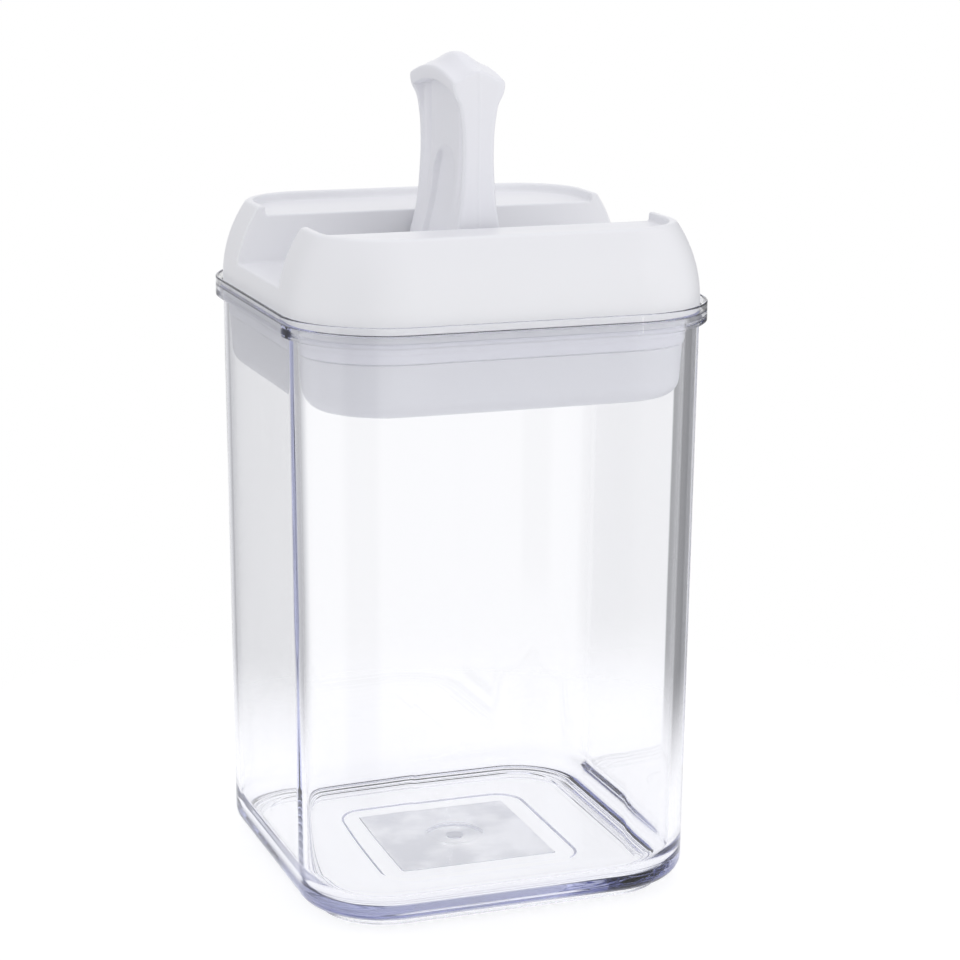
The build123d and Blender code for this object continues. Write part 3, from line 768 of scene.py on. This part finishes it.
# %% The frosted square
FROST_HALF, FROST_TOP, FROST_ROUGH, CLEAR_ROUGH = 0.0195, 0.004, 0.34, 0.004
axes = add(clear, "SeparateXYZ", {"Vector": place}).outputs
near_x, near_y = (arithmetic(clear, "ABSOLUTE", axes[axis]) for axis in "XY")
span = arithmetic(clear, "MAXIMUM", near_x, near_y)
inside_square = arithmetic(clear, "LESS_THAN", span, constant=FROST_HALF)
low_down = arithmetic(clear, "LESS_THAN", axes["Z"], constant=FROST_TOP)
frost = arithmetic(clear, "MULTIPLY", inside_square, low_down)
frost_rough = add(clear, "Math", {0: frost}, operation="MULTIPLY_ADD")
frost_rough.inputs[1].default_value, frost_rough.inputs[2].default_value = FROST_ROUGH, CLEAR_ROUGH
wire(clear, frost_rough.outputs[0], clear_shader.inputs["Roughness"])
smudge = add(clear, "TexNoise", {"Vector": place}, Scale=90.0, Detail=4.0)
cloud = add(clear, "ValToRGB", {"Fac": smudge.outputs["Fac"]})
dull, bright = cloud.color_ramp.elements
dull.position, dull.color = 0.40, (0.52, 0.53, 0.57, 1)
bright.position, bright.color = 0.62, (0.95, 0.955, 0.97, 1)
wire(clear, blend_colours(clear, frost, (1, 1, 1), cloud.outputs["Color"]),
     clear_shader.inputs["Base Color"])
print("frosted square:", 2000 * FROST_HALF, "mm wide")

# %% [markdown]
# A path tracer can't aim a light's rays through bent glass, so solid acrylic would cast a heavy
# grey shadow. For shadow rays alone the jar is therefore almost fully see-through, with the
# faint loss that two thin walls would cause.

# %% Let light through to the floor
pass_light = add(clear, "BsdfTransparent", Color=(0.97, 0.975, 0.985, 1))
shadow_ray = add(clear, "LightPath").outputs["Is Shadow Ray"]
surface = add(clear, "MixShader", {0: shadow_ray, 1: clear_shader.outputs[0], 2: pass_light.outputs[0]})
wire(clear, surface.outputs[0], jar_output.inputs["Surface"])
finishes["clear_acrylic"] = clear
print("finishes:", sorted(finishes))

# %% [markdown]
# ## Putting the finishes on
# The record says which material slot each CAD part has, so the hidden parts are finished from
# that list. The visible skins take the slot of the part that they replace.

# %% Put the finishes on
slot_of = {row["node"]: row["material_slot"] for row in frame["record"]["subparts"]}
painted = [(obj, slot_of[name]) for name, obj in nodes.items()]
painted += [(jar, "clear_acrylic"), (plug, "white_plastic"), (gasket, "silicone"),
            (cover, "white_plastic"), (lever, "lever_plastic")]
for obj, finish in painted:
    obj.data.materials.clear()
    obj.data.materials.append(finishes[finish])
print("pieces with a finish:", len(painted))

# %% [markdown]
# ## The floor
# The jar stands on a pale table. A big plane would fill everything seen through the clear walls
# with one flat tone. So the floor is a small disc, bright enough to read as white paper, which
# fades out smoothly round the jar and leaves the walls to show the studio behind them.

# %% Floor
FLOOR_DROP, FLOOR_GLOW, FADE_FROM, FADE_TO = -0.02, 0.66, 0.09, 0.2
reach = np.array([0.0, 0.07, 0.14, 0.205])[:, None] * 1000
turn = np.linspace(0, 2 * np.pi, 64, endpoint=False)
disc = np.stack([reach * np.cos(turn), reach * np.sin(turn), FLOOR_DROP + 0 * reach * turn], axis=2)
floor = piece("studio_floor", [grid(disc)])
floor_paint, floor_shader = new_finish("floor_paint", (0.45, 0.45, 0.45), 0.9)
floor_shader.inputs["Emission Color"].default_value = (1, 1, 1, 1)
floor_shader.inputs["Emission Strength"].default_value = FLOOR_GLOW
spot = add(floor_paint, "TexCoord").outputs["Object"]
far = add(floor_paint, "VectorMath", {0: spot}, operation="LENGTH").outputs["Value"]
fade = remap(floor_paint, far, FADE_FROM, FADE_TO, interpolation_type="SMOOTHSTEP")
see_past = add(floor_paint, "BsdfTransparent").outputs[0]
faded = add(floor_paint, "MixShader", {0: fade, 1: floor_shader.outputs[0], 2: see_past})
wire(floor_paint, faded.outputs[0], floor_paint.node_tree.nodes["Material Output"].inputs["Surface"])
floor.data.materials.append(floor_paint)

# %% [markdown]
# ## The studio
# Clear plastic has no look of its own: it shows what stands around it. A studio lights it with a
# white card behind and dark flags beside the card, and the flags draw the dark lines down the
# jar's edges. The flags could be planes, but planes cast shadows and get in other views. Here
# the world carries them: its tone is a list of (turn from straight behind the jar, tone) stops.

# %% The room's tone all round
AHEAD, TO_THE_RIGHT = (0.3429, 0.9394, 0.0), (0.9394, -0.3429, 0.0)
STUDIO = [(-180, 0.98), (-172, 0.5), (-138, 0.5), (-128, 1.0), (-80, 1.0), (-60, 0.5), (-30, 0.5),
          (-17, 0.8), (-13, 1.0), (13, 1.0), (17, 0.28), (50, 0.28), (64, 0.8), (120, 1.0), (180, 0.98)]
COOL, COOL_BELOW = (0.97, 0.975), 0.9
scene = bpy.context.scene
scene.view_settings.view_transform = "Standard"
world = bpy.data.worlds.new("studio")
scene.world = world
world.use_nodes = True
world.node_tree.nodes.clear()
way = add(world, "TexCoord").outputs["Generated"]
turned = add(world, "Math", operation="ARCTAN2")
for socket, direction in ((0, TO_THE_RIGHT), (1, AHEAD)):
    along = add(world, "VectorMath", {0: way}, operation="DOT_PRODUCT")
    along.inputs[1].default_value = direction
    wire(world, along.outputs["Value"], turned.inputs[socket])
ring = add(world, "ValToRGB", {"Fac": remap(world, turned.outputs[0], -math.pi, math.pi)})
stops = ring.color_ramp.elements
for degrees, tone in STUDIO:
    end = {-180: 0, 180: -1}.get(degrees)
    stop = stops.new((degrees + 180) / 360) if end is None else stops[end]
    red, green = COOL if tone < COOL_BELOW else (1, 1)
    stop.color = (tone * red, tone * green, tone, 1)
print("studio stops:", len(stops))

# %% [markdown]
# Higher up, the room is one even, slightly cool ceiling. What the camera sees directly is plain
# white, so the card's edges never show beside the jar, only in it.

# %% Ceiling and background
height = add(world, "SeparateXYZ", {0: way}).outputs["Z"]
dome = blend_colours(world, remap(world, height, 0.35, 0.75), ring.outputs["Color"], (0.86, 0.86, 0.895))
room = add(world, "Background", {"Color": dome}).outputs[0]
card = add(world, "Background", Color=(1, 1, 1, 1)).outputs[0]
seen = add(world, "LightPath").outputs["Is Camera Ray"]
pick = add(world, "MixShader", {0: seen, 1: room, 2: card}).outputs[0]
add(world, "OutputWorld", {"Surface": pick})
print("world nodes:", len(world.node_tree.nodes))

# %% [markdown]
# ## Lamps
# Three soft boxes model the white parts: a large one above, one from the front right, and a
# narrow upright strip whose reflection runs down the front wall. Sun lamps would give hard
# shadows that such a product picture doesn't have.

# %% Soft boxes


def area_light(name, place, size, power):
    """Rectangular soft box at a place, turned to look at the jar's middle."""
    data = bpy.data.lights.new(name, "AREA")
    data.shape, data.size, data.size_y = "RECTANGLE", *size
    data.energy = power
    lamp = bpy.data.objects.new(name, data)
    lamp.location = place
    lamp.rotation_euler = (Vector((0, 0, 0.1)) - lamp.location).to_track_quat("-Z", "Y").to_euler()
    scene.collection.objects.link(lamp)
    print(name, power, "W")


area_light("top_light", (0.1, 0.1, 0.9), (0.8, 0.8), 0.5)
area_light("front_right_light", (0.9, -1.1, 0.7), (0.5, 0.5), 0.75)
area_light("strip_light", (0.66, -1.48, 0.5), (0.02, 1.4), 0.35)

# %% [markdown]
# Light zigzags many times inside a thick clear heel before it leaves. With Blender's usual
# number of bounces such paths are cut short and the heel turns black, so they get more.

# %% Light paths long enough for thick acrylic
scene.cycles.max_bounces, scene.cycles.transmission_bounces, scene.cycles.glossy_bounces = 32, 32, 24
print("bounces:", scene.cycles.max_bounces)

# %% [markdown]
# ## The camera
# The camera stands a little above the jar's rim and to the left of its front, far enough off
# for calm perspective, with a long lens and a slight lean.

# %% Camera
LENS, SENSOR, LEAN = 101.17, 36.0, 0.4
camera_data = bpy.data.cameras.new("camera")
camera_data.lens, camera_data.sensor_width = LENS, SENSOR
camera = bpy.data.objects.new("camera", camera_data)
camera.location = (-0.21344, -0.60277, 0.24835)
look = Vector((0.00617, -0.00098, 0.0950)) - camera.location
lean = Quaternion((0, 0, 1), math.radians(LEAN))
camera.rotation_euler = (look.to_track_quat("-Z", "Y") @ lean).to_euler()
scene.collection.objects.link(camera)
scene.camera = camera
print("camera is", round(look.length, 3), "m from the jar's middle")
